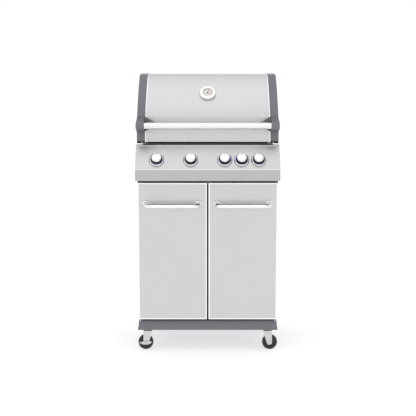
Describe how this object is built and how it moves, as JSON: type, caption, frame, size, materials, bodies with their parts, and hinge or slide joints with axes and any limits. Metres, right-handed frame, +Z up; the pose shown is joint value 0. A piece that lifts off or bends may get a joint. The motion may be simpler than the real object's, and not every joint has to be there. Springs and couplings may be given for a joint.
{
  "type": "gas barbecue grill",
  "caption": "Hooded gas barbecue grill on a two-door cabinet with casters, sloped control panel, knobs, side castings and a slide-out drip tray.",
  "frame": {"origin": "middle of the footprint on the floor, under the bounding box", "axes": "+Z up, -Y towards the cook in front of the doors, +X to the right seen from the front"},
  "size_m": [0.6, 0.4805, 1.1762],
  "materials": {
    "stainless_sheet": "fine brushed stainless sheet",
    "grey_casting": "smooth slate grey powder coat",
    "black_paint": "satin charcoal powder coat",
    "chrome_plate": "polished chrome",
    "black_enamel": "black heat-proof enamel",
    "burner_steel": "heat-tinted stainless",
    "cast_grate": "matt enamelled cast iron",
    "valve_brass": "turned brass",
    "black_rubber": "matt rubber",
    "wheel_black": "hard black caster tread",
    "knob_satin": "satin plated knob with a black skirt and a blue light ring",
    "lens_glass": "clear glass",
    "needle_red": "red paint"
  },
  "bodies": {
    "root": {"base_pan": "grey_casting", "left_side_panel": "black_paint", "right_side_panel": "black_paint", "cabinet_back_panel": "black_paint", "front_rail": "black_paint", "left_side_casting": "grey_casting", "right_side_casting": "grey_casting", "rear_shroud": "grey_casting", "control_panel": "stainless_sheet", "gas_manifold": "valve_brass", "firebox": "black_enamel", "burner_1": "burner_steel", "burner_2": "burner_steel", "burner_3": "burner_steel", "burner_4": "burner_steel", "rear_burner": "burner_steel", "flame_tamer": "burner_steel", "cooking_grate": "cast_grate", "hotplate": "cast_grate", "warming_rack": "chrome_plate", "left_tray_runner": "black_paint", "right_tray_runner": "black_paint", "left_pivot_bolt": "chrome_plate", "right_pivot_bolt": "chrome_plate"},
    "hood": {"hood_skin": "stainless_sheet", "hood_back_panel": "black_paint", "left_hood_cap": "grey_casting", "right_hood_cap": "grey_casting", "left_hood_bumper": "black_rubber", "right_hood_bumper": "black_rubber", "hood_handle": "stainless_sheet", "thermometer_case": "chrome_plate", "thermometer_lens": "lens_glass"},
    "thermometer_pointer": {"thermometer_pointer": "needle_red"},
    "left_door": {"left_door": "stainless_sheet", "left_door_handle": "chrome_plate"},
    "right_door": {"right_door": "stainless_sheet", "right_door_handle": "chrome_plate"},
    "drip_tray": {"drip_tray": "stainless_sheet"},
    "valve_stem_1": {"valve_stem_1": "valve_brass"},
    "knob_1": {"knob_1": "knob_satin"},
    "valve_stem_2": {"valve_stem_2": "valve_brass"},
    "knob_2": {"knob_2": "knob_satin"},
    "valve_stem_3": {"valve_stem_3": "valve_brass"},
    "knob_3": {"knob_3": "knob_satin"},
    "valve_stem_4": {"valve_stem_4": "valve_brass"},
    "knob_4": {"knob_4": "knob_satin"},
    "valve_stem_5": {"valve_stem_5": "valve_brass"},
    "knob_5": {"knob_5": "knob_satin"},
    "front_left_caster": {"front_left_caster_fork": "chrome_plate"},
    "front_left_wheel": {"front_left_caster_wheel": "wheel_black"},
    "front_left_brake": {"front_left_brake_lever": "chrome_plate"},
    "front_right_caster": {"front_right_caster_fork": "chrome_plate"},
    "front_right_wheel": {"front_right_caster_wheel": "wheel_black"},
    "front_right_brake": {"front_right_brake_lever": "chrome_plate"},
    "rear_left_caster": {"rear_left_caster_fork": "chrome_plate"},
    "rear_left_wheel": {"rear_left_caster_wheel": "wheel_black"},
    "rear_right_caster": {"rear_right_caster_fork": "chrome_plate"},
    "rear_right_wheel": {"rear_right_caster_wheel": "wheel_black"}
  },
  "joints": [
    {"name": "hood_hinge", "type": "hinge", "parent": "root", "child": "hood", "pos_m": [0, 0.16544, 1.0348], "axis": [-1, 0, 0], "range_deg": [0, 85]},
    {"name": "thermometer_needle", "type": "hinge", "parent": "hood", "child": "thermometer_pointer", "pos_m": [0, -0.09901, 1.09438], "axis": [0, -0.7682, 0.6402], "range_deg": [-120, 120]},
    {"name": "left_door_hinge", "type": "hinge", "parent": "root", "child": "left_door", "pos_m": [-0.2882, -0.16456, 0.43], "axis": [0, 0, -1], "range_deg": [0, 95]},
    {"name": "right_door_hinge", "type": "hinge", "parent": "root", "child": "right_door", "pos_m": [0.2882, -0.16456, 0.43], "axis": [0, 0, 1], "range_deg": [0, 95]},
    {"name": "knob_1_push", "type": "slide", "parent": "root", "child": "valve_stem_1", "axis": [0, 0.8197, -0.5728], "range_m": [0, 0.004], "stiffness_N_per_m": 900, "springref_m": -0.002},
    {"name": "knob_1_turn", "type": "hinge", "parent": "valve_stem_1", "child": "knob_1", "pos_m": [-0.2115, -0.2142, 0.82832], "axis": [0, -0.8197, 0.5728], "range_deg": [0, 120]},
    {"name": "knob_2_push", "type": "slide", "parent": "root", "child": "valve_stem_2", "axis": [0, 0.8197, -0.5728], "range_m": [0, 0.004], "stiffness_N_per_m": 900, "springref_m": -0.002},
    {"name": "knob_2_turn", "type": "hinge", "parent": "valve_stem_2", "child": "knob_2", "pos_m": [-0.0705, -0.2142, 0.82832], "axis": [0, -0.8197, 0.5728], "range_deg": [0, 120]},
    {"name": "knob_3_push", "type": "slide", "parent": "root", "child": "valve_stem_3", "axis": [0, 0.8197, -0.5728], "range_m": [0, 0.004], "stiffness_N_per_m": 900, "springref_m": -0.002},
    {"name": "knob_3_turn", "type": "hinge", "parent": "valve_stem_3", "child": "knob_3", "pos_m": [0.0705, -0.2142, 0.82832], "axis": [0, -0.8197, 0.5728], "range_deg": [0, 120]},
    {"name": "knob_4_push", "type": "slide", "parent": "root", "child": "valve_stem_4", "axis": [0, 0.8197, -0.5728], "range_m": [0, 0.004], "stiffness_N_per_m": 900, "springref_m": -0.002},
    {"name": "knob_4_turn", "type": "hinge", "parent": "valve_stem_4", "child": "knob_4", "pos_m": [0.141, -0.2142, 0.82832], "axis": [0, -0.8197, 0.5728], "range_deg": [0, 120]},
    {"name": "knob_5_push", "type": "slide", "parent": "root", "child": "valve_stem_5", "axis": [0, 0.8197, -0.5728], "range_m": [0, 0.004], "stiffness_N_per_m": 900, "springref_m": -0.002},
    {"name": "knob_5_turn", "type": "hinge", "parent": "valve_stem_5", "child": "knob_5", "pos_m": [0.2115, -0.2142, 0.82832], "axis": [0, -0.8197, 0.5728], "range_deg": [0, 120]},
    {"name": "front_left_swivel", "type": "hinge", "parent": "root", "child": "front_left_caster", "pos_m": [-0.258, -0.15356, 0.09], "axis": [0, 0, 1], "continuous": true},
    {"name": "front_left_axle", "type": "hinge", "parent": "front_left_caster", "child": "front_left_wheel", "pos_m": [-0.267, -0.15356, 0.0325], "axis": [0, -1, 0], "continuous": true},
    {"name": "front_left_brake_press", "type": "hinge", "parent": "front_left_caster", "child": "front_left_brake", "pos_m": [-0.267, -0.15356, 0.0325], "axis": [0, -1, 0], "range_deg": [0, 20]},
    {"name": "front_right_swivel", "type": "hinge", "parent": "root", "child": "front_right_caster", "pos_m": [0.258, -0.15356, 0.09], "axis": [0, 0, 1], "continuous": true},
    {"name": "front_right_axle", "type": "hinge", "parent": "front_right_caster", "child": "front_right_wheel", "pos_m": [0.267, -0.15356, 0.0325], "axis": [0, 1, 0], "continuous": true},
    {"name": "front_right_brake_press", "type": "hinge", "parent": "front_right_caster", "child": "front_right_brake", "pos_m": [0.267, -0.15356, 0.0325], "axis": [0, 1, 0], "range_deg": [0, 20]},
    {"name": "rear_left_swivel", "type": "hinge", "parent": "root", "child": "rear_left_caster", "pos_m": [-0.258, 0.19944, 0.09], "axis": [0, 0, 1], "continuous": true},
    {"name": "rear_left_axle", "type": "hinge", "parent": "rear_left_caster", "child": "rear_left_wheel", "pos_m": [-0.258, 0.20844, 0.0325], "axis": [-1, 0, 0], "continuous": true},
    {"name": "rear_right_swivel", "type": "hinge", "parent": "root", "child": "rear_right_caster", "pos_m": [0.258, 0.19944, 0.09], "axis": [0, 0, 1], "continuous": true},
    {"name": "rear_right_axle", "type": "hinge", "parent": "rear_right_caster", "child": "rear_right_wheel", "pos_m": [0.258, 0.20844, 0.0325], "axis": [-1, 0, 0], "continuous": true},
    {"name": "drip_tray_slide", "type": "slide", "parent": "root", "child": "drip_tray", "axis": [0, 1, 0], "range_m": [0, 0.3]}
  ]
}
